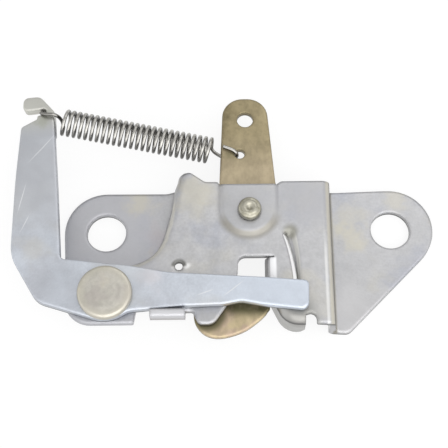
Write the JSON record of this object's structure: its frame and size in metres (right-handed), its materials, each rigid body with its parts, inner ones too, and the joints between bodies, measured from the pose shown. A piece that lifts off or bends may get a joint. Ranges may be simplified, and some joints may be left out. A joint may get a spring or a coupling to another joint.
{
  "type": "bonnet latch",
  "caption": "Pressed-steel bonnet latch: stepped base plate with bolt ears, hooked catch, L-shaped striker ejector and a tension spring that returns both levers.",
  "frame": {"origin": "on the plane of the ears' back faces, under the middle of the whole latch", "axes": "+X from the left ear to the right ear, +Y away from the striker slot's mouth towards the cable hole, +Z from the ears' back faces towards the ejector lever"},
  "size_m": [0.1164, 0.0712, 0.0168],
  "materials": {
    "base_plate": "satin zinc plate",
    "ejector_lever": "satin blue zinc plate",
    "catch_lever": "olive-yellow passivated plate",
    "tension_spring": "bright drawn wire",
    "ejector_rivet": "satin plated steel",
    "catch_rivet": "satin plated steel",
    "catch_spacer": "satin plated steel"
  },
  "bodies": {
    "base": {"base_plate": "base_plate", "ejector_rivet": "ejector_rivet", "catch_rivet": "catch_rivet", "catch_spacer": "catch_spacer", "tension_spring": "tension_spring"},
    "ejector": {"ejector_lever": "ejector_lever"},
    "catch": {"catch_lever": "catch_lever"}
  },
  "joints": [
    {"name": "ejector_pivot", "type": "hinge", "parent": "base", "child": "ejector", "pos_m": [-0.03231, -0.02482, 0.01265], "axis": [0, 0, 1], "range_deg": [0, 14], "stiffness_Nm_per_rad": 3.3, "springref_deg": -21.2, "deforming": ["tension_spring"]},
    {"name": "catch_pivot", "type": "hinge", "parent": "base", "child": "catch", "pos_m": [0.00649, -0.00052, 0.0075], "axis": [0, 0, 1], "range_deg": [-22, 0], "stiffness_Nm_per_rad": 0.44, "springref_deg": 57.3, "deforming": ["tension_spring"]}
  ]
}
